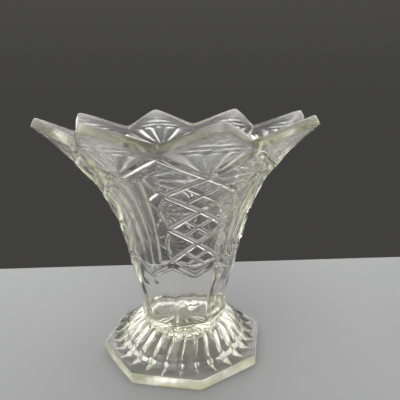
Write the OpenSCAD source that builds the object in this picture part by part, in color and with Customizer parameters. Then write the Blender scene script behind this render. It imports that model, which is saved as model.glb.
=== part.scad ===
// Pressed-glass vase that imitates cut crystal: an octagonal ribbed foot, a
// faceted stem, and a body that flares out into eight pointed rim scallops.
// Four lattice panels alternate with four reeded panels below the points.
// The vase is one casting.  Each sub-part here is the region of that casting
// that one feature fills, and neighbours meet face to face with no gap.

/* [Height and rim] */
// Height of the vase, to the highest point of a rim tip
height = 190; // [180:1:200]
// Outer radius of the rim, at the outer edge of a tip
rim_tip_r = 104.5; // [100:0.5:108]
// How far the notches lie below the tips
rim_notch_drop = 13; // [8:1:16]
// How much higher the rim's inner edge is than its outer edge
rim_lip_rise = 6; // [4:0.5:7]

/* [Body] */
// Radius of the body over the middle of a panel, where the stem meets it
body_mid_r = 40; // [38:0.5:42]
// Radius of the body over the corner between two panels, at the same level
body_corner_r = 43; // [41:0.5:45]
// Height of the level where the stem's curve ends and the body's begins
body_z = 72; // [68:1:76]
// Radius of the cavity at that level
body_cavity_r = 34; // [32:0.5:35]

/* [Pattern] */
// Height of the lowest point of the pattern's zigzag edge
pattern_z = 77; // [75:1:80]
// Height of one lattice diamond
diamond_h = 26; // [24:1:27]
// Lattice diamonds stacked in one panel
diamond_rows = 3; // [2:1:3]
// How far the lattice ridges stand out of the wall
lattice_relief = 1.6; // [0.6:0.1:2.2]
// Reeds in one reeded panel
reed_count = 3; // [2:1:5]
// How far the reeds stand out of the wall
reed_relief = 1.4; // [0.6:0.1:2]
// Height of the zigzag band under the panels
band_h = 6; // [4:0.5:7]
// How far the zigzag band stands out of the wall
band_relief = 1.3; // [0.5:0.1:2]

/* [Stem] */
// Height of the neck, where the stem meets the foot
neck_z = 29; // [27:1:31]
// Radius of the stem over a corner, at the neck
stem_corner_r = 35; // [33:0.5:36]
// Radius of the cavity at its floor
stem_cavity_r = 26.5; // [24:0.5:28]

/* [Foot] */
// Radius of the octagonal foot over its corners
foot_corner_r = 67; // [64:0.5:69]
// Thickness of the plate at the foot's edge
plate_h = 8; // [6:0.5:9]
// Radius of the hollow under the foot
hollow_r = 44; // [42:0.5:45]
// Height of the hollow's ceiling, which carries the star
ceiling_z = 17; // [15:1:19]
// Ribs round the foot
rib_count = 28; // [24:4:32]
// Radius where the ridge of a rib runs out on the plate
rib_end_r = 59; // [57:0.5:60]
// Radius where the valley between two ribs runs out on the plate
valley_end_r = 51; // [50:0.5:53]

/* [Star] */
// Rays of the star in the hollow's ceiling
ray_count = 32; // [24:1:48]
// Radius of the plain disc in the middle of the star
ray_start_r = 8; // [6:0.5:10]
// Outer radius of the star
ray_end_r = 25; // [22:0.5:26]

/* [Hidden] */
PANELS = 8;
HALF = 180 / PANELS;
GLASS = [0.87, 0.9, 0.8, 0.55];
TINTED = [0.84, 0.87, 0.66, 0.65];
// The flare: a steady slope, then a curve that rises with this power of the height
slope_mid = 12;
slope_corner = 10;
curve_mid = 2.5;
curve_corner = 2.2;
// Radii at the height of the tips: the wall's corners, the cavity's middle and corners
corner_rim_r = 92;
cavity_tip_r = 101;
cavity_corner_r = 90;
// The octagon's flat faces turn into pointed scallops: exponents at stem and rim
face_power = 2;
scallop_power = 0.75;
keel_round = 0.1;
tip_round = 0.07;
tip_power = 1.25;
// Radius of the floor disc, and of the neck where the foot dome meets it
floor_r = 28;
neck_r = 35.5;
// Where the dome's slope changes, on a ridge and in a valley: [radius, height]
ridge_kink = [48, 18];
valley_kink = [45.5, 13.5];
pattern_h = diamond_rows * diamond_h;
rim_outer_z = height - rim_lip_rise;
stem_curve_z = 38;
steps_lattice_u = 16;
steps_lattice_v = 24;
steps_reed_v = 8;
steps_point_v = 6;
steps_stem_v = 7;
steps_ring_u = 8;
dome_steps = 3;
steps_per_reed = 6;
// Half of a reeded panel's width that the reeds fill
reed_span = 0.5;

// ---- Shape of the glass wall ----
// u is the place across a panel, from -1 to 1, with 0 under the rim tip

function mix(a, b, s) = a + (b - a) * s;
function flare(z, top) = max(0, (z - body_z) / (top - body_z));
// x from 0 to 1, with its corner at 0 rounded off over about r
function soften(x, r) = (sqrt(x * x + r * r) - r) / (sqrt(1 + r * r) - r);
// How far the wall has gone from its middle shape to its corner shape
function share(u, w) =
  pow(soften(abs(u), keel_round * w), mix(face_power, scallop_power, w));

// Outer radius of the stem over a corner
function stem_r(z) = stem_corner_r
  + (body_corner_r - stem_corner_r)
  * pow(max(0, z - stem_curve_z) / (body_z - stem_curve_z), 2);

function body_mid(w) = body_mid_r + slope_mid * w
  + (rim_tip_r - body_mid_r - slope_mid) * pow(w, curve_mid);
function body_corner(w) = body_corner_r + slope_corner * w
  + (corner_rim_r - body_corner_r - slope_corner) * pow(w, curve_corner);

function outer_r(u, z) =
  let (w = flare(z, rim_outer_z))
  z < body_z
    ? mix(stem_r(z) * body_mid_r / body_corner_r, stem_r(z), share(u, 0))
    : mix(body_mid(w), body_corner(w), share(u, w));

function cavity_mid(w) = body_cavity_r + slope_mid * w
  + (cavity_tip_r - body_cavity_r - slope_mid) * pow(w, curve_mid);
function cavity_corner(w) = body_cavity_r + slope_mid * w
  + (cavity_corner_r - body_cavity_r - slope_mid) * pow(w, curve_corner);

function inner_r(u, z) =
  let (w = flare(z, height))
  z < body_z
    ? mix(stem_cavity_r, body_cavity_r, pow((z - neck_z) / (body_z - neck_z), 1.5))
    : mix(cavity_mid(w), cavity_corner(w), share(u, w));

// Height of the rim's outer edge: a rounded tip between two notches
function rim_z(u) = rim_outer_z
  - rim_notch_drop * (1 - pow(1 - soften(abs(u), tip_round), tip_power));

// The point of the inner wall that faces the outer point at height z
function inner_z(u, z) =
  z + rim_lip_rise * pow((z - neck_z) / (rim_z(u) - neck_z), 2);

// Edges that run in a zigzag round the vase, low under each rim tip
function zigzag(z, u) = z + diamond_h / 2 * abs(u);
function pattern_low(u) = zigzag(pattern_z, u);
function pattern_high(u) = zigzag(pattern_z + pattern_h, u);
function band_low(u) = zigzag(pattern_z - band_h, u);

// Panel k, counted round from the one at -Y
function azimuth(k, u) = -90 + 2 * HALF * k + HALF * u;
function place(r, a, z) = [r * cos(a), r * sin(a), z];

function outer_point(k, u, z, relief) =
  place(outer_r(u, z) + relief, azimuth(k, u), z);
function inner_point(k, u, z) =
  let (zi = inner_z(u, z))
  place(inner_r(u, zi), azimuth(k, u), zi);

// ---- Relief of each region ----
// v runs from 0 at the region's lower edge to 1 at its upper edge

function to_line(x) = abs(x - round(x));
function ridge(d) = max(0, 1 - 8 * d);
function edge_fade(u, v) = (abs(u) > 0.99 || v < 0.01 || v > 0.99) ? 0 : 1;

// Crossing ridges, with lower ones that split each diamond into four
function lattice_height(u, v) =
  let (rise = v * diamond_rows)
  let (cross = rise + abs(u))
  let (major = max(ridge(to_line(rise)), ridge(to_line(cross))))
  let (minor = max(ridge(to_line(rise + 0.5)), ridge(to_line(cross + 0.5))))
  lattice_relief * max(major, 0.5 * minor) * edge_fade(u, v);

function reed_wave(u) = abs(sin(180 * reed_count * (u / reed_span + 1) / 2));
function reed_height(u, v) =
  abs(u) < reed_span ? reed_relief * reed_wave(u) * edge_fade(u, v) : 0;

// A mitre ridge along the lower edge of a rim point, and a low swell above it
function point_height(u, v) =
  edge_fade(u, v) * (v < 0.2 ? 1.2 : v < 0.4 ? 0.2 : 0.8 * (1 - abs(u)));

function band_height(u, v) = band_relief * edge_fade(0, v);

// ---- Solids built from an outer and an inner grid of points ----

function quad(a, b, c, d, turned) =
  turned ? [[a, b, d], [b, c, d]] : [[a, b, c], [a, c, d]];
function flat_list(lists) = [for (l = lists) each l];

// rows and columns of points, columns going round and rows going up.
// A closed slab goes all the way round and has no end faces.
module slab(outer, inner, closed = false) {
  cols = len(outer);
  rows = len(outer[0]);
  count = cols * rows;
  spans = closed ? cols : cols - 1;
  function o(i, j) = (i % cols) * rows + j;
  function n(i, j) = count + o(i, j);
  walls = [for (i = [0:spans - 1]) for (j = [0:rows - 2])
    let (turned = i >= (cols - 1) / 2)
    each concat(
      quad(o(i, j), o(i, j + 1), o(i + 1, j + 1), o(i + 1, j), turned),
      quad(n(i, j), n(i + 1, j), n(i + 1, j + 1), n(i, j + 1), false))];
  edges = [for (i = [0:spans - 1]) let (t = rows - 1)
    each concat(
      quad(o(i, 0), o(i + 1, 0), n(i + 1, 0), n(i, 0), false),
      quad(o(i + 1, t), o(i, t), n(i, t), n(i + 1, t), false))];
  ends = closed ? [] : [for (j = [0:rows - 2]) let (c = cols - 1)
    each concat(
      quad(o(0, j + 1), o(0, j), n(0, j), n(0, j + 1), false),
      quad(o(c, j), o(c, j + 1), n(c, j + 1), n(c, j), false))];
  polyhedron(concat(flat_list(outer), flat_list(inner)), concat(walls, edges, ends));
}

function even(steps) = [for (i = [0:steps]) -1 + 2 * i / steps];
lattice_us = even(steps_lattice_u);
reed_us = concat([-1, -0.75],
  [for (i = [0:reed_count * steps_per_reed])
    reed_span * (2 * i / (reed_count * steps_per_reed) - 1)],
  [0.75, 1]);
function panel_us(k) = k % 2 == 0 ? lattice_us : reed_us;

// ---- Sub-parts ----

module lattice_panel(k) {
  function z(u, v) = mix(pattern_low(u), pattern_high(u), v);
  vs = [for (j = [0:steps_lattice_v]) j / steps_lattice_v];
  color(GLASS)
    slab([for (u = lattice_us)
           [for (v = vs) outer_point(k, u, z(u, v), lattice_height(u, v))]],
         [for (u = lattice_us) [for (v = vs) inner_point(k, u, z(u, v))]]);
}

module reed_panel(k) {
  function z(u, v) = mix(pattern_low(u), pattern_high(u), v);
  vs = [for (j = [0:steps_reed_v]) j / steps_reed_v];
  color(GLASS)
    slab([for (u = reed_us)
           [for (v = vs) outer_point(k, u, z(u, v), reed_height(u, v))]],
         [for (u = reed_us) [for (v = vs) inner_point(k, u, z(u, v))]]);
}

module rim_point(k) {
  function z(u, v) = mix(pattern_high(u), rim_z(u), v);
  vs = [for (j = [0:steps_point_v]) j / steps_point_v];
  color(TINTED)
    slab([for (u = panel_us(k))
           [for (v = vs) outer_point(k, u, z(u, v), point_height(u, v))]],
         [for (u = panel_us(k)) [for (v = vs) inner_point(k, u, z(u, v))]]);
}

// Places across each panel in turn, as one list of [panel, u] round the vase
ring_us = even(steps_ring_u);
round_us = [for (k = [0:PANELS - 1]) for (i = [0:steps_ring_u - 1]) [k, ring_us[i]]];

module shoulder_band() {
  function z(u, v) = mix(band_low(u), pattern_low(u), v);
  vs = [0, 0.2, 0.8, 1];
  color(TINTED)
    slab([for (p = round_us)
           [for (v = vs) outer_point(p[0], p[1], z(p[1], v), band_height(p[1], v))]],
         [for (p = round_us) [for (v = vs) inner_point(p[0], p[1], z(p[1], v))]],
         closed = true);
}

module stem() {
  function z(u, v) = mix(neck_z, band_low(u), v);
  vs = [for (j = [0:steps_stem_v]) j / steps_stem_v];
  color(GLASS)
    slab([for (p = round_us) [for (v = vs) outer_point(p[0], p[1], z(p[1], v), 0)]],
         [for (p = round_us) [for (v = vs) inner_point(p[0], p[1], z(p[1], v))]],
         closed = true);
}

// Disc under the cavity, with a star of V-grooves in its lower face
module star_base() {
  ray_w = 1.5;
  ray_len = ray_end_r - ray_start_r;
  color(GLASS)
    difference() {
      translate([0, 0, ceiling_z])
        cylinder(r = floor_r, h = neck_z - ceiling_z, $fn = 96);
      for (i = [0:ray_count - 1])
        rotate([0, 0, 360 * i / ray_count])
          translate([ray_start_r + ray_len / 2, 0, ceiling_z])
            rotate([45, 0, 0])
              cube([ray_len, ray_w, ray_w], center = true);
    }
}

// Ribbed dome: sharp ridges, with a round valley between each two
function dome_outer(s, v) =
  let (kink = mix(valley_kink, ridge_kink, s))
  let (end = [mix(valley_end_r, rib_end_r, s), plate_h])
  let (top = [neck_r, neck_z])
  v < 0.5
    ? mix(end, kink, 2 * v)
    : let (t = 2 * v - 1)
      let (bend = [mix(kink, top, 0.52).x, mix(kink, top, 0.68).y])
      mix(mix(kink, bend, t), mix(bend, top, t), t);
// The hollow's sloping wall, then the face towards the star base
function dome_inner(v) =
  v < 0.5
    ? mix([hollow_r, plate_h], [floor_r, ceiling_z], 2 * v)
    : mix([floor_r, ceiling_z], [floor_r, neck_z], 2 * v - 1);

module foot_dome() {
  steps = rib_count * 6;
  vs = [for (j = [0:2 * dome_steps]) j / (2 * dome_steps)];
  angles = [for (i = [0:steps - 1]) 360 * i / steps];
  function crest(a) = 1 - abs(sin(a * rib_count / 2));
  color(GLASS)
    slab([for (a = angles)
           [for (v = vs) let (p = dome_outer(crest(a), v)) place(p.x, a, p.y)]],
         [for (a = angles) [for (v = vs) let (p = dome_inner(v)) place(p.x, a, p.y)]],
         closed = true);
}

// Octagonal plate, open in the middle, that the vase stands on
module foot_plate() {
  color(TINTED)
    difference() {
      cylinder(r = foot_corner_r, h = plate_h, $fn = 8);
      translate([0, 0, -1])
        cylinder(r = hollow_r, h = plate_h + 2, $fn = 96);
    }
}

// ---- Nodes ----

foot_plate();
foot_dome();
star_base();
stem();
shoulder_band();
lattice_panel(0);  // lattice_panel_1
reed_panel(1);  // reed_panel_1
lattice_panel(2);  // lattice_panel_2
reed_panel(3);  // reed_panel_2
lattice_panel(4);  // lattice_panel_3
reed_panel(5);  // reed_panel_3
lattice_panel(6);  // lattice_panel_4
reed_panel(7);  // reed_panel_4
rim_point(0);  // rim_point_1
rim_point(1);  // rim_point_2
rim_point(2);  // rim_point_3
rim_point(3);  // rim_point_4
rim_point(4);  // rim_point_5
rim_point(5);  // rim_point_6
rim_point(6);  // rim_point_7
rim_point(7);  // rim_point_8
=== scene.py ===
"""Looks of the pressed-glass vase: one closed glass mesh, its setting, lights and camera."""
import math

import bpy
import numpy as np
from mathutils import Matrix, Vector


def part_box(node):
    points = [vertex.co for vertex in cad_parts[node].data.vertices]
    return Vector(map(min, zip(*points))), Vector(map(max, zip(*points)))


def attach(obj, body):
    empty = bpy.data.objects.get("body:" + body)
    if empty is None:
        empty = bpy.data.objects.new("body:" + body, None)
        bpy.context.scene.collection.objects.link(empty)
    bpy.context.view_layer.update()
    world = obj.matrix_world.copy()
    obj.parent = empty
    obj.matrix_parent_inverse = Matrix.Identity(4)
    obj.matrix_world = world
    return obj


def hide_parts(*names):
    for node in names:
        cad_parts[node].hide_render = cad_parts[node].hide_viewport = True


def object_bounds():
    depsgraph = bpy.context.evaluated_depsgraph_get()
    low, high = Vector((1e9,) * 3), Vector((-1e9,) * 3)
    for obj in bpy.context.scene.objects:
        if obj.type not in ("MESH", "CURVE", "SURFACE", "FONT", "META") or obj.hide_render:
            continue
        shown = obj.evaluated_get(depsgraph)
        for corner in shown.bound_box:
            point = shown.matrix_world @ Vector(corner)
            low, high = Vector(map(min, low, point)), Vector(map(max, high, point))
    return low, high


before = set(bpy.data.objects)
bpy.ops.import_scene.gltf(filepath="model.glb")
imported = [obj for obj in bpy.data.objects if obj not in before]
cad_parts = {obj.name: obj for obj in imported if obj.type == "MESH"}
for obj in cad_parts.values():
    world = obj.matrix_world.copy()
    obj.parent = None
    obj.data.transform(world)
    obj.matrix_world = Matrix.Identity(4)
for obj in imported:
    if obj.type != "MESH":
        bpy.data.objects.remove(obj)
cad_low, cad_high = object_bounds()

MM = 0.001
PANELS = 8
HALF = math.pi / PANELS  # half of a panel's angle
TINY = 1e-6


def node_mm(node, corner, axis):
    """One coordinate of a CAD node's box, in millimetres: corner 0 is the low one, 1 the high."""
    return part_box(node)[corner][axis] / MM


# ---- Driving sizes, in millimetres, read from the CAD model ----
HEIGHT = cad_high.z / MM
RIM_TIP_R = cad_high.x / MM
PLATE_H = node_mm("foot_plate", 1, 2)
FOOT_CORNER_R = node_mm("foot_plate", 1, 0)
FOOT_FLAT_R = FOOT_CORNER_R * math.cos(HALF)
CEILING_Z = node_mm("star_base", 0, 2)
FLOOR_R = node_mm("star_base", 1, 0)
NECK_Z = node_mm("stem", 0, 2)
LATTICE_Z = node_mm("lattice_panel_1", 0, 2)
APEX_Z = node_mm("rim_point_1", 0, 2)
DIAMOND_ROWS = 3
DIAMOND_H = (APEX_Z - LATTICE_Z) / DIAMOND_ROWS

# ---- The wall's profile, as in the CAD model; a MID size is at the middle of a panel ----
BODY_Z, BODY_MID_R, BODY_CORNER_R, CAVITY_R = 72.0, 40.0, 43.0, 34.0
STEM_CORNER_R, STEM_CAVITY_R, STEM_CURVE_Z = 35.0, 26.5, 38.0
FACET_ROUND, FACET_END_Z = 0.15, 125.0
THROAT_POWER = 1.5
LIP_RISE, NOTCH_DROP = 6.0, 13.0
SLOPE_MID, SLOPE_CORNER, CURVE_MID, CURVE_CORNER = 12.0, 10.0, 2.5, 2.2
CORNER_RIM_R, CAVITY_TIP_R, CAVITY_CORNER_R = 92.0, 101.0, 90.0
FACE_POWER, SCALLOP_POWER, KEEL_ROUND = 2.0, 0.75, 0.1
TIP_ROUND, TIP_POWER = 0.07, 1.25
RIM_OUTER_Z = HEIGHT - LIP_RISE

# ---- Mesh density ----
COLS_PER_PANEL = 56
COLS = PANELS * COLS_PER_PANEL
ROWS_PER_DIAMOND = COLS_PER_PANEL // 2


def mix(a, b, s):
    return a + (b - a) * s


def soften(x, r):
    """x from 0 to 1 with its corner at 0 rounded off over about r."""
    return (np.sqrt(x * x + r * r) - r) / (np.sqrt(1 + r * r) - r)


def smooth_step(x, low, high):
    t = np.clip((x - low) / (high - low), 0, 1)
    return t * t * (3 - 2 * t)


def round_end(t):
    """A quarter circle's height, from 0 at t = 0 to 1 at t = 1 and beyond."""
    return np.sqrt(np.clip(1 - (1 - np.clip(t, 0, 1)) ** 2, 0, 1))


# ---- The plain wall: radius and height at u, which is -1 and 1 at a panel's two corners ----

def flare(z, top):
    """How far up the flaring body z is: 0 up to the stem's top, and 1 at the rim."""
    return np.maximum(0, (z - BODY_Z) / (top - BODY_Z))


def share(u, w):
    """How far the wall has gone from its middle shape to its corner shape."""
    return soften(np.abs(u), KEEL_ROUND * w + TINY) ** mix(FACE_POWER, SCALLOP_POWER, w)


def outer_r(u, z):
    """Radius of the outer wall: an octagonal stem that flares out to pointed scallops."""
    rise = np.maximum(0, np.minimum(z, BODY_Z) - STEM_CURVE_Z) / (BODY_Z - STEM_CURVE_Z)
    stem = STEM_CORNER_R + (BODY_CORNER_R - STEM_CORNER_R) * rise**2
    stem = mix(stem * BODY_MID_R / BODY_CORNER_R, stem, share(u, 0 * z))
    w = flare(z, RIM_OUTER_Z)
    middle = BODY_MID_R + SLOPE_MID * w + (RIM_TIP_R - BODY_MID_R - SLOPE_MID) * w**CURVE_MID
    corner = (BODY_CORNER_R + SLOPE_CORNER * w
              + (CORNER_RIM_R - BODY_CORNER_R - SLOPE_CORNER) * w**CURVE_CORNER)
    return np.where(z < BODY_Z, stem, mix(middle, corner, share(u, w)))


def facet(u):
    """The cavity's flat sides with rounded corners: radius at u over radius at a side's middle."""
    return 1 / np.cos(HALF * (1 - soften(1 - np.abs(u), FACET_ROUND)))


def inner_r(u, z):
    """Radius of the cavity: flat sides with round corners low down, scallops at the rim."""
    low = np.clip((z - NECK_Z) / (BODY_Z - NECK_Z), 0, 1) ** THROAT_POWER
    w = flare(z, HEIGHT)
    start = CAVITY_R + SLOPE_MID * w
    middle = start + (CAVITY_TIP_R - CAVITY_R - SLOPE_MID) * w**CURVE_MID
    corner = start + (CAVITY_CORNER_R - CAVITY_R - SLOPE_MID) * w**CURVE_CORNER
    r = np.where(z < BODY_Z, mix(STEM_CAVITY_R, CAVITY_R, low), mix(middle, corner, share(u, w)))
    return r * mix(facet(u), 1, smooth_step(z, BODY_Z, FACET_END_Z))


def rim_z(u):
    """Height where the outer wall ends: a tip at each panel's middle, a notch at its corners."""
    return RIM_OUTER_Z - NOTCH_DROP * (1 - (1 - soften(np.abs(u), TIP_ROUND)) ** TIP_POWER)


def inner_z(u, z):
    """Height on the inner wall that belongs to z on the outer wall."""
    return z + LIP_RISE * ((z - NECK_Z) / (rim_z(u) - NECK_Z)) ** 2


# ---- Columns: azimuth, the panel's own u, and x, which counts from a lattice panel's middle ----
INDEX = np.arange(COLS)
AZIMUTH = -math.pi / 2 - HALF + INDEX * 2 * HALF / COLS_PER_PANEL
U = -1 + 2 * (INDEX % COLS_PER_PANEL) / COLS_PER_PANEL
PANEL = INDEX // COLS_PER_PANEL
IS_REED = PANEL % 2 == 1
X = np.where(IS_REED, 2 - np.abs(U), np.abs(U))

# ---- Relief of the outer wall, in millimetres out of the plain wall ----
# q is the height in rows of diamonds above the lattice's lowest point. A name that ends in _H says
# how far a ridge stands out, and one that ends in _HALF is half of the ridge's width.
SLOPE_STEP = 0.5
CREST_ROUND, RAY_ROUND = 0.12, 0.15

# Lattice: a slanting line climbs LINE_LEAN rows over half a panel.
LINE_LEAN = 0.5
MAJOR_H, MAJOR_HALF = 1.8, 1.9
MINOR_H, MINOR_HALF = 1.05, 1.25
FAN_MARGIN = 1.6

# Lobes: the rounded outer ends of the half diamonds, from the lowest up. The reach is a share of
# half a panel's width, the top and the bottom are in rows.
LOBE_REACH = (0.12, 0.18, 0.27, 0.48)
LOBE_TOP, LOBE_BOTTOM = (0.5, 0.5, 0.5, 0.28), 0.5
LOBE_POWER = 1.6
LOBE_OVERHANG = 0.4
LOBE_LIP_H, LOBE_LIP_DEPTH, LOBE_LIP_HALF = 2.3, 1.3, 1.5
LOBE_FAN_START, LOBE_FAN_FULL = 2.6, 4.0
LOBE_FAN_H, LOBE_FAN_BASE, LOBE_FAN_RAYS, LOBE_FAN_GROWTH = 0.6, 0.2, 9, 5

# Reeds: the span is a share of the panel's width.
REED_SPAN, REED_COUNT, REED_H = 0.52, 3, 1.45
REED_LOW_Q, REED_HIGH_Q, REED_TOP_LENGTH = 0.22, 2.95, 2.2

# Rim points: the V of ridges at the bottom, the curved lines, and the fan that rises from the V.
MITRE_BOW, MITRE_START_Q = 0.1, 2
MITRE_H, MITRE_HALF = 1.9, 2.5
CURVE_END_Q, CURVE_MIDDLE_Q = 3.6, (3.68, 3.78, 3.9, 4.0)
CURVE_H, CURVE_HALF = 0.9, 1.1
POINT_FAN_H, POINT_FAN_BASE, POINT_FAN_RAYS, POINT_FAN_GROWTH = 0.95, 0.1, 7, 8
POINT_MARGIN = 1.5

# Band: its edges are lowest at a panel's middle and swing up to its corners.
BAND_LOW_Z, BAND_LOW_SWING = 75.5, 9.0
BAND_HIGH_Z, BAND_HIGH_SWING = 84.5, 6.0
BAND_H, BAND_CORNER_ROUND, BAND_EDGE, BAND_COVER = 1.0, 0.12, 0.8, 1.0

# How far from the rim the wall is still plain, and where the pattern has its full height.
RIM_PLAIN, RIM_PATTERNED = 1.5, 7.0
WAVE_HEIGHTS = (0.07, 0.05, 0.04)


def slope(u, z):
    """How much the outer radius grows with height."""
    return (outer_r(u, z + SLOPE_STEP) - outer_r(u, z - SLOPE_STEP)) / (2 * SLOPE_STEP)


def roof(distance, half_width):
    """A ridge with straight sides and a slightly rounded crest, from 0 to 1."""
    return 1 - soften(np.clip(distance / half_width, 0, 1), CREST_ROUND)


def line_distance(value, per_mm):
    """Distance in millimetres from the nearest whole number of value."""
    return np.abs(value - np.round(value)) / per_mm


def line_scale(r, stretch):
    """How fast the pattern's slanting lines count up, per millimetre across them."""
    return np.sqrt((1 / (DIAMOND_H * stretch)) ** 2 + (LINE_LEAN / (HALF * r)) ** 2)


def fan_rays(side, along, count, turn):
    """Rays, from 0 to 1, that spread from the point where side and along are 0."""
    angle = np.arctan2(side, np.maximum(along, TINY))
    return 1 - soften(np.abs(np.sin(angle * count + turn)), RAY_ROUND)


def lattice_relief(q, r, stretch):
    """Crossing ridges, lower ones that split each diamond, and fans in the half diamonds."""
    s, t = q + LINE_LEAN * X, q - LINE_LEAN * X
    per_mm = line_scale(r, stretch)
    major = np.minimum(line_distance(s, per_mm), line_distance(t, per_mm))
    minor = np.minimum(line_distance(s + 0.5, per_mm), line_distance(t + 0.5, per_mm))
    whole = np.floor(s) == np.floor(t)
    fan = fan_relief(q, r, stretch) * smooth_step(major, MAJOR_HALF, MAJOR_HALF + FAN_MARGIN)
    infill = np.where(whole, MINOR_H * roof(minor, MINOR_HALF), fan)
    relief = np.maximum(MAJOR_H * roof(major, MAJOR_HALF), infill)
    return np.where(X <= 1, relief, 0)


def lobe_edge(q):
    """How far the lobes bulge past the panel's edge (-1 between them), and which is nearest."""
    n = np.clip(np.round(q), 0, DIAMOND_ROWS).astype(int)
    dq = q - n
    t = np.where(dq > 0, dq / np.array(LOBE_TOP)[n], dq / LOBE_BOTTOM)
    reach = np.array(LOBE_REACH)[n] * (1 - np.abs(t) ** LOBE_POWER)
    return np.where(np.abs(t) < 1, reach, -1), n


def fan_relief(q, r, stretch):
    """Rays that spread inwards from the outer end of each half diamond."""
    _, n = lobe_edge(q)
    across = (1 + np.array(LOBE_REACH)[n] - X) * HALF * r
    up = (q - n) * DIAMOND_H * stretch
    rays = fan_rays(up, across, LOBE_FAN_RAYS, 0)
    growth = np.clip(np.hypot(across, up) / LOBE_FAN_GROWTH, 0, 1)
    return LOBE_FAN_H * (LOBE_FAN_BASE + (1 - LOBE_FAN_BASE) * rays * growth)


def lobe_relief(q, r, stretch):
    """The rounded outer ends of the half diamonds, over the plain strip."""
    edge, _ = lobe_edge(q)
    depth = (edge - (X - 1)) * HALF * r
    lip = LOBE_LIP_H * roof(np.abs(depth - LOBE_LIP_DEPTH), LOBE_LIP_HALF)
    fan = fan_relief(q, r, stretch) * smooth_step(depth, LOBE_FAN_START, LOBE_FAN_FULL)
    value = np.maximum(fan, lip) * (depth > -LOBE_OVERHANG)
    return np.where((X > 1) & (edge >= 0), value, 0)


def reed_relief(q, stretch):
    """Rounded reeds side by side, with blunt round tops."""
    place = (U / REED_SPAN + 1) / 2 * REED_COUNT
    across = 2 * (place - np.floor(place)) - 1
    lobe = np.sqrt(np.clip(1 - across**2, 0, 1))
    top = (REED_HIGH_Q - q) * DIAMOND_H * stretch
    inside = IS_REED & (np.abs(U) < REED_SPAN) & (q > REED_LOW_Q)
    return np.where(inside, REED_H * lobe * round_end(top / REED_TOP_LENGTH), 0)


def mitre_q():
    """Where the V at the bottom of each rim point runs, column by column."""
    return DIAMOND_ROWS + LINE_LEAN * np.abs(U) + MITRE_BOW * U**2


def mitre_relief(q, r, stretch):
    """The V of ridges that closes the bottom of each rim point, on both kinds of panel."""
    distance = np.abs(q - mitre_q()) / line_scale(r, stretch)
    return MITRE_H * roof(distance, MITRE_HALF) * (q > MITRE_START_Q)


def point_relief(q, r, stretch):
    """Curved lines that close on both notches, and a fan that rises from the V."""
    curves = [CURVE_END_Q + (middle - CURVE_END_Q) * (1 - U**2) for middle in CURVE_MIDDLE_Q]
    relief = 0 * q
    for curve in curves:
        distance = np.abs(q - curve) * DIAMOND_H * stretch
        relief = np.maximum(relief, CURVE_H * roof(distance, CURVE_HALF))
    across = U * HALF * r
    up = (q - DIAMOND_ROWS) * DIAMOND_H * stretch
    rays = fan_rays(across, up, POINT_FAN_RAYS, math.pi / 2)
    growth = np.clip(np.hypot(across, up) / POINT_FAN_GROWTH, 0, 1)
    fan = POINT_FAN_H * (POINT_FAN_BASE + (1 - POINT_FAN_BASE) * rays) * growth
    relief = np.where(q < curves[0], np.maximum(relief, fan), relief)
    inside = (q - mitre_q()) / line_scale(r, stretch)
    return relief * smooth_step(inside, MAJOR_HALF, MAJOR_HALF + POINT_MARGIN)


def band_edges():
    """Heights of the zigzag band's lower and upper edge, column by column."""
    wave = soften(np.abs(U), BAND_CORNER_ROUND)
    return BAND_LOW_Z + BAND_LOW_SWING * wave, BAND_HIGH_Z + BAND_HIGH_SWING * wave


def band_relief(z):
    """The raised zigzag band, with rounded edges."""
    low, high = band_edges()
    rise = smooth_step(z, low - BAND_EDGE, low + BAND_EDGE)
    return BAND_H * rise * (1 - smooth_step(z, high - BAND_EDGE, high + BAND_EDGE))


def waviness(azimuth, z):
    """The slight unevenness of fire-polished glass: three waves that do not repeat together."""
    broad, middle, fine = WAVE_HEIGHTS
    return (broad * np.sin(5 * azimuth + z / 11) * np.sin(z / 17 + 1.3)
            + middle * np.sin(11 * azimuth - z / 7 + 0.6)
            + fine * np.sin(23 * azimuth + z / 5 + 2.1))


def wall_relief(z):
    """All of the relief at once; it fades out towards the band and towards the plain rim."""
    r = outer_r(U, z)
    stretch = np.sqrt(1 + slope(U, z) ** 2)
    q = (z - LATTICE_Z) / DIAMOND_H
    lattice = np.where(q < mitre_q(), lattice_relief(q, r, stretch), 0)
    pattern = np.maximum(lattice, lobe_relief(q, r, stretch))
    pattern = np.maximum(pattern, reed_relief(q, stretch))
    _, high = band_edges()
    pattern = pattern * smooth_step(z, high - BAND_COVER, high + BAND_EDGE)
    pattern = np.maximum(pattern, mitre_relief(q, r, stretch))
    pattern = np.maximum(pattern, point_relief(q, r, stretch))
    to_rim = (rim_z(U) - z) * stretch
    pattern = pattern * smooth_step(to_rim, RIM_PLAIN, RIM_PATTERNED)
    return np.maximum(pattern, band_relief(z))


# ---- Rings of points round the axis, from the star out, up the outside and down the inside ----
# Each row adds two triangles per column, and the exporter thins out a mesh of over 200,000.
FILLET_STEPS, PLATE_TOP_STEPS = 4, 5
DOME_ROWS, STEM_ROWS, BAND_ROWS, POINT_ROWS, INNER_ROWS, RIM_ROWS = 26, 9, 3, 29, 19, 8

PLATE_FILLET, PLATE_LEAN, RIB_STOP = 1.4, 0.3, 0.3
OCTAGON_FIRMNESS, OCTAGON_OFFSET = 2.5, 60

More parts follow.
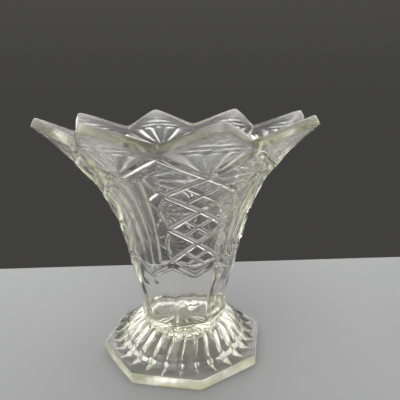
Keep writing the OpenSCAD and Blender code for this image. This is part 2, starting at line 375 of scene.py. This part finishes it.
# Ribs of the dome: radius and height where they run out, at a kink, and at a control point of the
# curve from there to the neck.
RIB_COUNT, RIB_SHARPNESS, RIB_ROUND = 28, 2.6, 0.06
RIB_END_R, VALLEY_END_R, RIB_END_RISE = 60.0, 53.0, 0.4
RIDGE_KINK, VALLEY_KINK = (48.5, 17.6), (46.5, 14.6)
RIDGE_CONTROL, VALLEY_CONTROL = (41.8, 26.0), (41.4, 23.4)
KINK_AT, RIB_BULGE = 0.35, 1.2
NECK_R, NECK_BLEND = 35.6, (0.5, 1.0)

BAND_MARGIN, BAND_GAP, ABOVE_BAND = 1.6, 1.0, (0.2, 0.6)
EDGE_STEPS = (-0.7, -0.25, 0.25, 0.7)
RIM_BULGE, RIM_SQUARENESS = 1.0, 0.7
INNER_WAVINESS, INNER_WAVE_TURN = 1.6, 1

FLOOR_FILLET, FLOOR_COLS, FLOOR_RADII = 2.0, 96, (18.0, 10.0, 3.0)
DISH_R, DISH_DEPTH = STEM_CAVITY_R - FLOOR_FILLET, 0.25

RAY_COUNT, RAY_START_R, RAY_END_R, RAY_SLOPE = 32, 8.0, 25.0, 0.36
RAY_END_SLOPE, RAY_END_MARGIN = 0.6, 0.4
COLS_PER_RAY, RAY_STEPS = 8, 8
STAR_MIDDLE_R, STAR_GAP = 3.0, 0.6

HOLLOW_R, HOLLOW_COLS, CEILING_MARGIN = 44.0, 224, 1
HOLLOW_PROFILE = (
    (FLOOR_R + CEILING_MARGIN, CEILING_Z - 0.6), (33.0, 14.5), (38.0, 11.6), (42.0, 9.0),
    (HOLLOW_R - 0.4, 7.4), (HOLLOW_R, 5.5), (HOLLOW_R, 2.0),
    (HOLLOW_R + 0.6, 0.6), (HOLLOW_R + 2.0, 0.0),
)


def ring(radius, z, azimuth):
    return np.stack([radius * np.cos(azimuth), radius * np.sin(azimuth), z + 0 * azimuth], axis=-1)


def even_azimuths(count):
    """Azimuths of a ring with its own number of points, which starts where the columns start."""
    return np.arange(count) * 2 * math.pi / count + AZIMUTH[0]


def outer_ring(z):
    """One ring of the outer wall at height z, which may differ from column to column."""
    m = slope(U, z)
    n = np.sqrt(1 + m * m)
    h = wall_relief(z) + waviness(AZIMUTH, z)
    return ring(outer_r(U, z) + h / n, z - h * m / n, AZIMUTH)


def inner_ring(z):
    """One ring of the inner wall, opposite height z on the outer wall."""
    zi = inner_z(U, z)
    wave = INNER_WAVINESS * waviness(AZIMUTH + INNER_WAVE_TURN, z)
    return ring(inner_r(U, zi) + wave, zi, AZIMUTH)


def star_rings():
    """From the middle of the star across the hollow's ceiling: shallow V grooves side by side."""
    many = even_azimuths(RAY_COUNT * COLS_PER_RAY)
    place = many * RAY_COUNT / (2 * math.pi)
    groove = np.abs(2 * (place - np.floor(place)) - 1)
    rings = [ring(r + 0 * many, CEILING_Z, many) for r in (STAR_MIDDLE_R, RAY_START_R - STAR_GAP)]
    for j in range(RAY_STEPS + 1):
        r = mix(RAY_START_R, RAY_END_R, j / RAY_STEPS)
        depth = min(RAY_SLOPE * math.pi / RAY_COUNT * r,
                    RAY_END_SLOPE * (RAY_END_R + RAY_END_MARGIN - r))
        rings.append(ring(r + 0 * many, CEILING_Z + depth * groove, many))
    rings.append(ring(FLOOR_R - CEILING_MARGIN + 0 * many, CEILING_Z, many))
    return rings


def hollow_rings():
    """Down the hollow's sloping wall to the standing ring."""
    few = even_azimuths(HOLLOW_COLS)
    return [ring(r + 0 * few, z, few) for r, z in HOLLOW_PROFILE]


def octagon_r(inset):
    """Radius of the foot's octagon, drawn in by inset, with rounded corners."""
    apothem = FOOT_FLAT_R - inset
    near = apothem / np.cos(HALF * (1 - np.abs(U)))
    far = apothem / np.cos(HALF * (1 + np.abs(U)))
    total = (np.exp(-OCTAGON_FIRMNESS * (near - OCTAGON_OFFSET))
             + np.exp(-OCTAGON_FIRMNESS * (far - OCTAGON_OFFSET)))
    return -np.log(total) / OCTAGON_FIRMNESS + OCTAGON_OFFSET


def crest():
    """1 on a rib's ridge, 0 in the valley between two ribs."""
    phase = np.sin(AZIMUTH * RIB_COUNT / 2)
    return (1 - soften(np.abs(phase), RIB_ROUND)) ** RIB_SHARPNESS


def fillet_angles(first, count):
    """Angles of count rows round a fillet, which is a quarter circle of FILLET_STEPS steps."""
    return [part * math.pi / (2 * FILLET_STEPS) for part in range(first, first + count)]


def foot_side_rings():
    """From the flat underside up the octagon's side and over its top edge to the ribs' ends."""
    rings = []
    for a in fillet_angles(0, FILLET_STEPS + 1):
        rings.append(ring(octagon_r(PLATE_FILLET * (1 - math.sin(a))),
                          PLATE_FILLET * (1 - math.cos(a)), AZIMUTH))
    rings.append(ring(octagon_r(PLATE_LEAN / 2), PLATE_H / 2, AZIMUTH))
    for a in fillet_angles(0, FILLET_STEPS + 1):
        rings.append(ring(octagon_r(PLATE_LEAN + PLATE_FILLET * (1 - math.cos(a))),
                          PLATE_H - PLATE_FILLET * (1 - math.sin(a)), AZIMUTH))
    border = octagon_r(PLATE_LEAN + PLATE_FILLET)
    end = np.minimum(mix(VALLEY_END_R, RIB_END_R, crest()), border - RIB_STOP)
    for part in range(1, PLATE_TOP_STEPS):
        t = part / PLATE_TOP_STEPS
        rings.append(ring(mix(border, end, t), PLATE_H + RIB_END_RISE * t, AZIMUTH))
    return rings


def arc(kink, control, top_r, t):
    """Radius and height along the curve from the kink, past a control point, to the neck."""
    start, pull, end = (1 - t) ** 2, 2 * (1 - t) * t, t * t
    return (start * kink[0] + pull * control[0] + end * top_r,
            start * kink[1] + pull * control[1] + end * NECK_Z)


def dome_ring(v):
    """A ring of the ribbed dome, from v = 0 where the ribs run out to v = 1 at the neck."""
    c = crest()
    if v < KINK_AT:
        t = v / KINK_AT
        r = mix(mix(VALLEY_END_R, RIB_END_R, c), mix(VALLEY_KINK[0], RIDGE_KINK[0], c), t)
        z = mix(PLATE_H + RIB_END_RISE, mix(VALLEY_KINK[1], RIDGE_KINK[1], c), t)
        return ring(r, z + (RIB_BULGE * math.sin(math.pi * t)) * c, AZIMUTH)
    t = (v - KINK_AT) / (1 - KINK_AT)
    top_r = mix(NECK_R, outer_r(U, NECK_Z + 0 * U), smooth_step(t, *NECK_BLEND))
    ridge_r, ridge_z = arc(RIDGE_KINK, RIDGE_CONTROL, top_r, t)
    valley_r, valley_z = arc(VALLEY_KINK, VALLEY_CONTROL, top_r, t)
    return ring(mix(valley_r, ridge_r, c), mix(valley_z, ridge_z, c), AZIMUTH)


def wall_heights():
    """Heights of the outer wall's rings, which follow the band and the lattice up and down."""
    band_low, band_high = band_edges()
    stem_top = band_low - BAND_MARGIN
    low = LATTICE_Z + DIAMOND_H / 2 * np.abs(U)
    top = low + DIAMOND_ROWS * DIAMOND_H
    rows = DIAMOND_ROWS * ROWS_PER_DIAMOND
    heights = [mix(NECK_Z, stem_top, j / STEM_ROWS) for j in range(1, STEM_ROWS + 1)]
    heights += [band_low + step for step in EDGE_STEPS]
    heights += [mix(band_low + BAND_MARGIN, band_high - BAND_MARGIN, j / BAND_ROWS)
                for j in range(BAND_ROWS + 1)]
    heights += [band_high + step for step in EDGE_STEPS]
    heights += [mix(band_high + BAND_GAP, low, part) for part in ABOVE_BAND]
    heights += [low + DIAMOND_ROWS * DIAMOND_H * j / rows for j in range(rows)]
    heights += [mix(top, rim_z(U), j / POINT_ROWS) for j in range(POINT_ROWS + 1)]
    return heights


def outer_rings():
    """Up the outside, from the foot's underside to the rim."""
    dome = [dome_ring(j / DOME_ROWS) for j in range(DOME_ROWS + 1)]
    return foot_side_rings() + dome + [outer_ring(z) for z in wall_heights()]


def rim_rings():
    """The fire-polished end of the wall: it slopes up and inwards, with round shoulders."""
    start, end = outer_ring(rim_z(U)), inner_ring(rim_z(U))
    run = np.hypot(end[:, 0], end[:, 1]) - np.hypot(start[:, 0], start[:, 1])
    rise = end[:, 2] - start[:, 2]
    length = np.hypot(run, rise)
    bulge = ring(RIM_BULGE * rise / length, -RIM_BULGE * run / length, AZIMUTH)
    rings = []
    for j in range(1, RIM_ROWS):
        a = math.pi * j / RIM_ROWS
        across = (1 - math.copysign(abs(math.cos(a)) ** RIM_SQUARENESS, math.cos(a))) / 2
        rings.append(mix(start, end, across) + bulge * math.sin(a) ** RIM_SQUARENESS)
    return rings


def inner_rings():
    """Down the inside of the wall, from the rim to the fillet round the cavity's floor."""
    return [inner_ring(mix(NECK_Z + FLOOR_FILLET, rim_z(U), 1 - j / INNER_ROWS))
            for j in range(INNER_ROWS + 1)]


def floor_rings():
    """The cavity's floor: a round fillet, then a shallow dish."""
    rings = []
    for a in fillet_angles(1, FILLET_STEPS):
        rings.append(ring((STEM_CAVITY_R - FLOOR_FILLET * (1 - math.cos(a))) * facet(U),
                          NECK_Z + FLOOR_FILLET * (1 - math.sin(a)), AZIMUTH))
    few = even_azimuths(FLOOR_COLS)
    for r in FLOOR_RADII:
        rings.append(ring(r + 0 * few, NECK_Z - DISH_DEPTH * (1 - (r / DISH_R) ** 2), few))
    return rings


# ---- Joining rings into one closed mesh ----
FOOT_TWIST, FOOT_TWIST_Z = math.radians(-3.5), (15, NECK_Z - 1)
RIM_TILT, RIM_TILT_TOWARDS, RIM_TILT_Z = 1.3, math.radians(55), (110, 180)


def hand_finish(points):
    """A pressed vase is never quite true: its foot is a little turned, its rim a little tilted."""
    x, y, z = points[:, 0], points[:, 1], points[:, 2]
    a, r = np.arctan2(y, x), np.hypot(x, y)
    turn = FOOT_TWIST * (1 - smooth_step(z, *FOOT_TWIST_Z))
    lift = RIM_TILT * np.cos(a - RIM_TILT_TOWARDS) * smooth_step(z, *RIM_TILT_Z)
    return np.stack([r * np.cos(a + turn), r * np.sin(a + turn), z + lift], axis=-1)


class Surface:
    """Points and triangles of a skin that is made loop by loop."""

    def __init__(self):
        self.points, self.faces, self.count = [], [], 0

    def add(self, points):
        """Adds a loop of points and gives where it starts and how many it has."""
        start = self.count
        self.points.append(points)
        self.count += len(points)
        return start, len(points)

    def pole(self, point, loop, up):
        """Closes a loop with a fan of triangles to one point."""
        start, n = loop
        tip, _ = self.add(np.array([point]))
        for i in range(n):
            a, b = start + i, start + (i + 1) % n
            self.faces.append((a, b, tip) if up else (b, a, tip))

    def bridge(self, low, high):
        """Joins two loops, the second one further along the profile, whatever their counts."""
        (s0, n0), (s1, n1) = low, high
        if n0 == n1:
            i = np.arange(n0)
            j = (i + 1) % n0
            left = (i % COLS_PER_PANEL) < COLS_PER_PANEL // 2
            a, b, c, d = s0 + i, s0 + j, s1 + j, s1 + i
            first = np.stack([a, b, np.where(left, c, d)], -1)
            second = np.stack([np.where(left, a, b), c, d], -1)
            self.faces += list(map(tuple, np.concatenate([first, second]).tolist()))
            return
        i = j = 0
        while i < n0 or j < n1:
            if j == n1 or (i < n0 and (i + 1) * n1 <= (j + 1) * n0):
                self.faces.append((s0 + i % n0, s0 + (i + 1) % n0, s1 + j % n1))
                i += 1
            else:
                self.faces.append((s0 + i % n0, s1 + (j + 1) % n1, s1 + j % n1))
                j += 1

    def to_object(self, name, flat_faces):
        """Makes the mesh; its first flat_faces faces keep their facets sharp."""
        mesh = bpy.data.meshes.new(name)
        points = hand_finish(np.concatenate(self.points)) * MM
        mesh.from_pydata(points.tolist(), [], self.faces)
        smooth = [i >= flat_faces for i in range(len(mesh.polygons))]
        mesh.polygons.foreach_set("use_smooth", smooth)
        piece = bpy.data.objects.new(name, mesh)
        bpy.context.scene.collection.objects.link(piece)
        return piece


def build_vase():
    """The whole casting; only the star's grooves have sharp facets."""
    surface = Surface()
    star = star_rings()
    rest = hollow_rings() + outer_rings() + rim_rings() + inner_rings() + floor_rings()
    loops = [surface.add(r) for r in star + rest]
    surface.pole((0, 0, CEILING_Z), loops[0], up=False)
    for low, high in zip(loops[:len(star)], loops[1:]):
        surface.bridge(low, high)
    flat_faces = len(surface.faces)
    for low, high in zip(loops[len(star):], loops[len(star) + 1:]):
        surface.bridge(low, high)
    surface.pole((0, 0, NECK_Z - DISH_DEPTH), loops[-1], up=True)
    return surface.to_object("vase_glass", flat_faces)


# ---- Materials: heights in millimetres, from low to high, and the value at each of the two ----
GLASS_IOR = 1.52
HAZE_Z, HAZE_ROUGHNESS = (158.0, HEIGHT), (0.07, 0.32)
# Painted light at the tips: some transmission turns into white diffuse, which brightens them the
# way light carried up inside the wall would.
PAINTED_TIP_LIGHT_Z, PAINTED_TIP_LIGHT_TRANSMISSION = (183.0, 191.0), (1.0, 0.72)
WEAR_Z, WEAR_ROUGHNESS = (0.2, 1.2), (0.28, 0.0)
GLASS_TINT, GLASS_TINT_DENSITY = (0.885, 0.875, 0.42, 1), 7

TABLE_SHADES = (0.28, 0.282, 0.284, 1), (0.31, 0.31, 0.31, 1)
TABLE_ROUGHNESS, TABLE_MOTTLE_SCALE = 0.55, 9


def new_material(name):
    material = bpy.data.materials.new(name)
    material.use_nodes = True
    nodes, links = material.node_tree.nodes, material.node_tree.links
    return material, nodes, links, nodes["Principled BSDF"], nodes["Material Output"]


def by_height(nodes, links, height, heights, values):
    """A socket whose value changes evenly with the height between two heights."""
    node = nodes.new("ShaderNodeMapRange")
    node.inputs["From Min"].default_value = heights[0] * MM
    node.inputs["From Max"].default_value = heights[1] * MM
    node.inputs["To Min"].default_value = values[0]
    node.inputs["To Max"].default_value = values[1]
    links.new(height, node.inputs["Value"])
    return node.outputs["Result"]


def glass_material():
    """Clear glass, hazy at the rim, with painted light at the tips where some white diffuse
    brightens them, worn underneath, tinted more the thicker it is.
    """
    material, nodes, links, shader, output = new_material("pressed_glass")
    shader.inputs["Base Color"].default_value = (1.0, 1.0, 1.0, 1)
    shader.inputs["IOR"].default_value = GLASS_IOR
    shader.inputs["Transmission Weight"].default_value = 1.0
    place = nodes.new("ShaderNodeTexCoord")
    split = nodes.new("ShaderNodeSeparateXYZ")
    links.new(place.outputs["Object"], split.inputs["Vector"])
    height = split.outputs["Z"]
    haze = by_height(nodes, links, height, HAZE_Z, HAZE_ROUGHNESS)
    painted_tip_light = by_height(nodes, links, height, PAINTED_TIP_LIGHT_Z, PAINTED_TIP_LIGHT_TRANSMISSION)
    wear = by_height(nodes, links, height, WEAR_Z, WEAR_ROUGHNESS)
    # Painted light: less transmission at the very tips, so white diffuse brightens them.
    links.new(painted_tip_light, shader.inputs["Transmission Weight"])
    rougher = nodes.new("ShaderNodeMath")
    rougher.operation = "MAXIMUM"
    links.new(haze, rougher.inputs[0])
    links.new(wear, rougher.inputs[1])
    links.new(rougher.outputs["Value"], shader.inputs["Roughness"])
    depth = nodes.new("ShaderNodeVolumeAbsorption")
    depth.inputs["Color"].default_value = GLASS_TINT
    depth.inputs["Density"].default_value = GLASS_TINT_DENSITY
    links.new(depth.outputs["Volume"], output.inputs["Volume"])
    return material


def table_material():
    """A plain pale, slightly satin table top."""
    material, nodes, links, shader, _ = new_material("pale_table")
    place = nodes.new("ShaderNodeTexCoord")
    mottle = nodes.new("ShaderNodeTexNoise")
    mottle.inputs["Scale"].default_value = TABLE_MOTTLE_SCALE
    ramp = nodes.new("ShaderNodeValToRGB")
    for stop, shade in zip(ramp.color_ramp.elements, TABLE_SHADES):
        stop.color = shade
    links.new(place.outputs["Object"], mottle.inputs["Vector"])
    links.new(mottle.outputs["Fac"], ramp.inputs["Fac"])
    links.new(ramp.outputs["Color"], shader.inputs["Base Color"])
    shader.inputs["Roughness"].default_value = TABLE_ROUGHNESS
    return material


# ---- Setting, in metres, given as the camera sees it: right, away, up from the vase's foot ----
VIEW_TURN = math.radians(-13.1)
CAMERA_DISTANCE, CAMERA_HEIGHT = 0.3162, 0.2004
CAMERA_YAW, CAMERA_PITCH, CAMERA_ROLL = (math.radians(a) for a in (2.71, 13.72, -0.68))
SENSOR_WIDTH, FOCAL_SHARE = 36, 411.9 / 400  # focal length is a share of the sensor's width

TABLE_WIDTH, TABLE_DEPTH, TABLE_THICKNESS = 0.7, 0.62, 0.02
TABLE_BEHIND, TABLE_GAP = 0.172, 0.0001
TABLE_EDGE_R, TABLE_EDGE_STEPS = 0.003, 4

# Area lights: name, place, where it points, width and height, watts.
VASE_MIDDLE, WALL_AIM = (0, 0, 0.1), (0, 0.1, 0.4)
LIGHTS = (
    ("key", (-0.5, -0.6, 0.95), VASE_MIDDLE, (1.0, 1.0), 6.5),
    ("overhead", (0.1, 0.1, 1.15), VASE_MIDDLE, (1.6, 1.6), 9),
    ("left_wall", (-0.8, 0.1, 0.5), WALL_AIM, (1.2, 0.7), 2.2),
    ("right_wall", (0.8, 0.1, 0.5), WALL_AIM, (1.2, 0.7), 2.2),
    ("back_panel", (0, 1.1, 0.5), VASE_MIDDLE, (1.7, 0.66), 4.2),
    ("back_left", (-0.66, 1.0, 0.45), VASE_MIDDLE, (0.7, 0.9), 1.9),
    ("back_right", (0.66, 1.0, 0.45), VASE_MIDDLE, (0.7, 0.9), 1.9),
    ("front_panel", (0.1, -1.1, 0.75), VASE_MIDDLE, (1.2, 0.4), 2),
)

# The studio round it all, from the horizon and below up to the zenith.
HORIZON, ZENITH = (0.052, 0.0515, 0.05, 1), (0.32, 0.32, 0.32, 1)
LOW_SKY, LOW_SKY_AT = (0.075, 0.074, 0.072, 1), 0.35

GLASS_BOUNCES, GLOSSY_BOUNCES = 24, 8


def turned(x, y, z):
    """A place given as the camera sees it, in the vase's own frame."""
    c, s = math.cos(VIEW_TURN), math.sin(VIEW_TURN)
    return Vector((c * x - s * y, s * x + c * y, z))


def camera_matrix(right, up, back, place):
    columns = Matrix((right, up, back)).transposed().to_4x4()
    columns.translation = place
    return columns


def build_camera():
    data = bpy.data.cameras.new("camera")
    data.sensor_width = SENSOR_WIDTH
    data.lens = SENSOR_WIDTH * FOCAL_SHARE
    camera = bpy.data.objects.new("camera", data)
    cy, sy = math.cos(CAMERA_YAW), math.sin(CAMERA_YAW)
    cp, sp = math.cos(CAMERA_PITCH), math.sin(CAMERA_PITCH)
    cr, sr = math.cos(CAMERA_ROLL), math.sin(CAMERA_ROLL)
    forward = turned(sy * cp, cy * cp, -sp)
    right = turned(cy, -sy, 0)
    up = right.cross(forward)
    right, up = right * cr + up * sr, up * cr - right * sr
    place = turned(0, -CAMERA_DISTANCE, CAMERA_HEIGHT)
    camera.matrix_world = camera_matrix(right, up, -forward, place)
    bpy.context.scene.collection.objects.link(camera)
    bpy.context.scene.camera = camera


def build_table():
    """A table top with rounded edges, a hair below the glass; its far edge is behind the vase."""
    mesh = bpy.data.meshes.new("table_top")
    side, near = TABLE_WIDTH / 2, TABLE_BEHIND - TABLE_DEPTH
    corners = [(-side, near), (side, near), (side, TABLE_BEHIND), (-side, TABLE_BEHIND)]
    heights = (-TABLE_THICKNESS, -TABLE_GAP)
    points = [tuple(turned(x, y, z)) for z in heights for x, y in corners]
    faces = [(3, 2, 1, 0), (4, 5, 6, 7), (0, 1, 5, 4), (1, 2, 6, 5), (2, 3, 7, 6), (3, 0, 4, 7)]
    mesh.from_pydata(points, [], faces)
    table = bpy.data.objects.new("table_top", mesh)
    bpy.context.scene.collection.objects.link(table)
    edge = table.modifiers.new("edge", "BEVEL")
    edge.width, edge.segments = TABLE_EDGE_R, TABLE_EDGE_STEPS
    table.data.materials.append(table_material())


def area_light(name, place, aim, size, power):
    data = bpy.data.lights.new(name, "AREA")
    data.shape = "RECTANGLE"
    data.size, data.size_y = size
    data.energy = power
    light = bpy.data.objects.new(name, data)
    light.location = turned(*place)
    light.rotation_euler = (turned(*aim) - light.location).to_track_quat("-Z", "Y").to_euler()
    light.visible_camera = False
    bpy.context.scene.collection.objects.link(light)


def build_lights():
    for light in LIGHTS:
        area_light(*light)


def build_world():
    """A studio that is dim round the horizon and lighter overhead."""
    world = bpy.data.worlds.new("studio")
    world.use_nodes = True
    nodes, links = world.node_tree.nodes, world.node_tree.links
    place = nodes.new("ShaderNodeTexCoord")
    split = nodes.new("ShaderNodeSeparateXYZ")
    ramp = nodes.new("ShaderNodeValToRGB")
    stops = ramp.color_ramp.elements
    stops[0].color, stops[1].color = HORIZON, ZENITH
    stops.new(LOW_SKY_AT).color = LOW_SKY
    links.new(place.outputs["Generated"], split.inputs["Vector"])
    links.new(split.outputs["Z"], ramp.inputs["Fac"])
    links.new(ramp.outputs["Color"], nodes["Background"].inputs["Color"])
    bpy.context.scene.world = world


def set_light_paths():
    """Enough bounces for light to get through every wall of the glass."""
    cycles = bpy.context.scene.cycles
    cycles.max_bounces = GLASS_BOUNCES
    cycles.transmission_bounces = GLASS_BOUNCES
    cycles.transparent_max_bounces = GLASS_BOUNCES
    cycles.glossy_bounces = GLOSSY_BOUNCES
    bpy.context.scene.view_settings.view_transform = "Standard"


# ---- Assembly ----
vase = build_vase()
vase.data.materials.append(glass_material())
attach(vase, "root")
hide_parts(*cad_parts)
build_table()
build_lights()
build_world()
build_camera()
set_light_paths()
